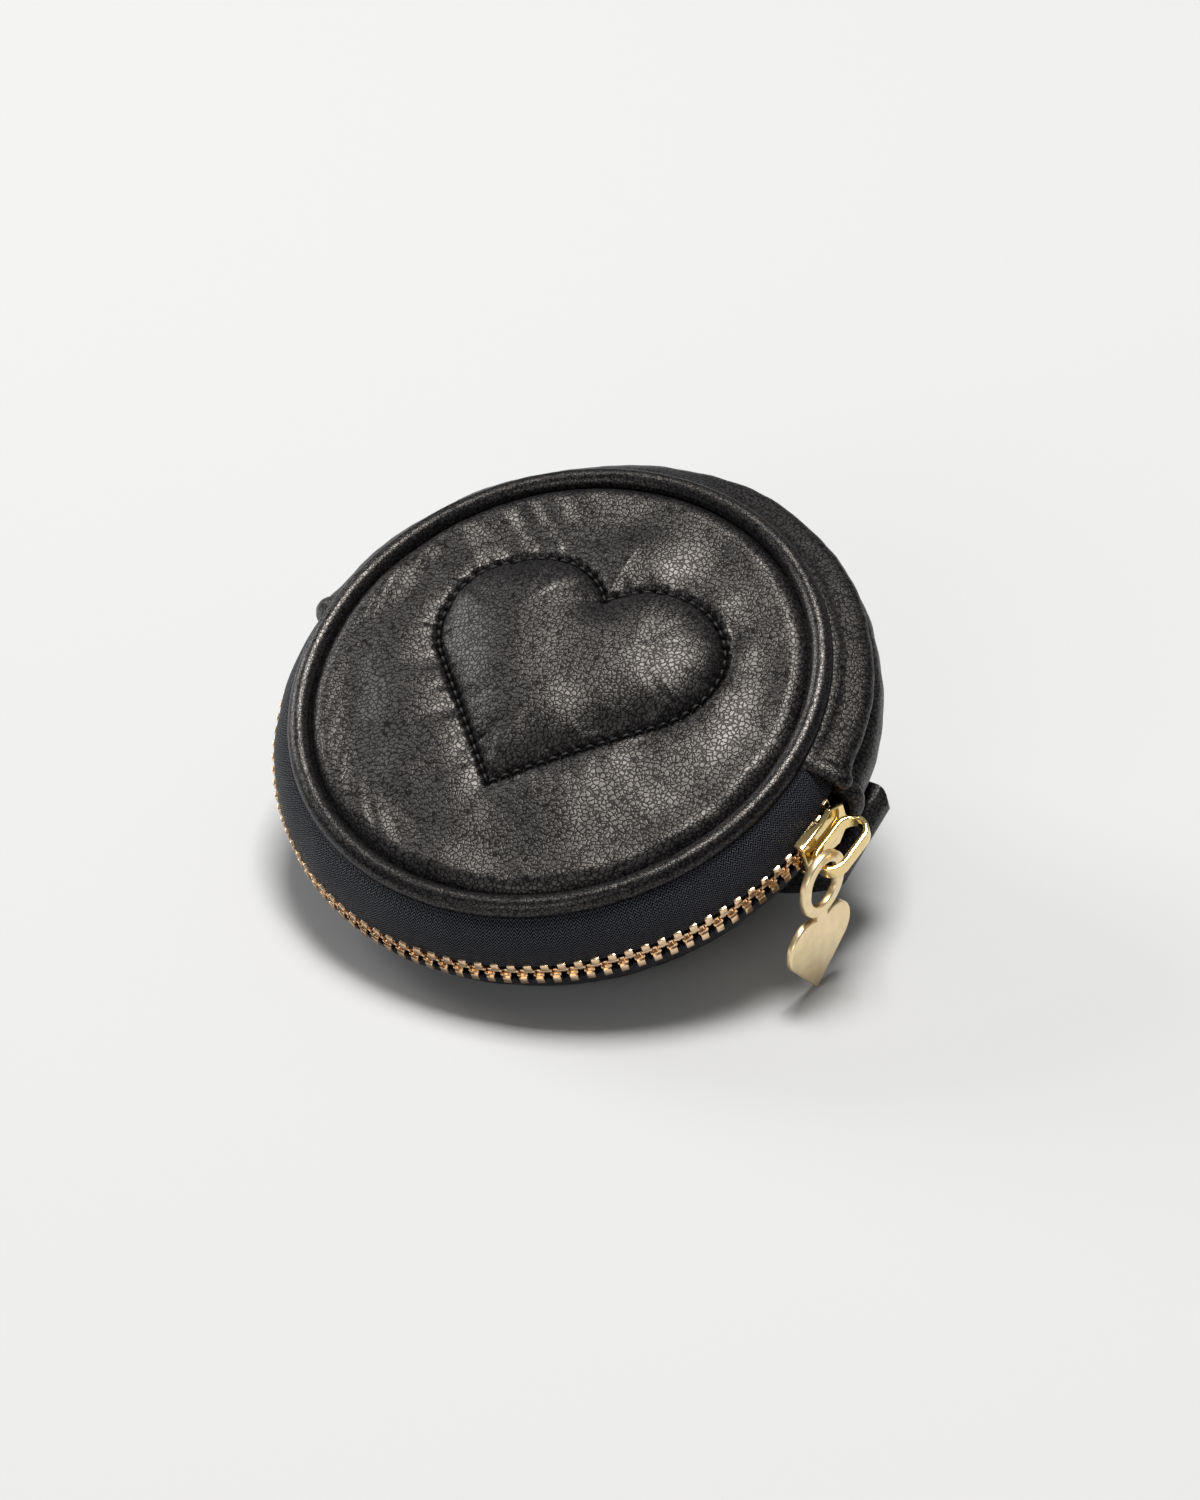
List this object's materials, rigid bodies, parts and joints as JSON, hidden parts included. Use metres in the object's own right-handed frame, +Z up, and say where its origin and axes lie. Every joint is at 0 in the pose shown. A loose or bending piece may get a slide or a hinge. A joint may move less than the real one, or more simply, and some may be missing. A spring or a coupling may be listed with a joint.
{
  "type": "coin purse",
  "caption": "Round padded leather coin purse with a quilted front, zipper round the lower rim, metal slider with a ring charm, and a strap across the back that it stands on.",
  "frame": {"origin": "middle of the bottom of the box, on the surface that the purse stands on", "axes": "+X along the back strap towards the closed slider, +Y towards the back strap, +Z up"},
  "size_m": [0.1122, 0.0968, 0.0567],
  "materials": {
    "black_leather": "soft grained nappa, satin",
    "lining_leather": "smooth split leather",
    "wadding": "soft wadding",
    "lining_fabric": "woven twill",
    "piping_cord": "soft cord",
    "zipper_tape": "woven herringbone",
    "thread": "bonded thread",
    "rose_brass": "plated, polished",
    "polished_gold": "plated, polished",
    "satin_gold": "plated, satin"
  },
  "bodies": {
    "back": {"back_panel": "black_leather", "back_padding": "wadding", "back_lining": "lining_fabric", "back_piping": "black_leather", "back_piping_cord": "piping_cord", "gusset": "black_leather", "gusset_lining": "lining_fabric", "zipper_tape_back": "zipper_tape", "zipper_teeth_back": "rose_brass", "zipper_top_stop_back": "rose_brass", "zipper_bottom_stop": "rose_brass", "back_strap": "black_leather", "strap_lining": "lining_leather"},
    "front": {"front_panel": "black_leather", "front_padding": "wadding", "front_lining": "lining_fabric", "quilt_stitching": "thread", "front_piping": "black_leather", "front_piping_cord": "piping_cord", "zipper_tape_front": "zipper_tape", "zipper_teeth_front": "rose_brass", "zipper_top_stop_front": "rose_brass"},
    "slider": {"slider_body": "polished_gold", "slider_bridge": "polished_gold"},
    "charm": {"heart_charm": "satin_gold"}
  },
  "joints": [
    {"name": "slider_travel", "type": "hinge", "parent": "back", "child": "slider", "pos_m": [-0.00274, -0.00016, 0.02835], "axis": [0, -0.3907, 0.9205], "range_deg": [-168.5, 0], "deforming": ["zipper_teeth_front", "zipper_teeth_back", "zipper_tape_front", "zipper_tape_back"]},
    {"name": "front_open", "type": "hinge", "parent": "back", "child": "front", "pos_m": [-0.00274, 0.00347, 0.02989], "axis": [-1, 0, 0], "range_deg": [0, 18], "deforming": ["gusset", "gusset_lining"]},
    {"name": "charm_swing", "type": "hinge", "parent": "slider", "child": "charm", "pos_m": [0.05222, -0.01062, 0.02391], "axis": [0.9945, -0.0962, -0.0408], "range_deg": [-66, 66]}
  ]
}
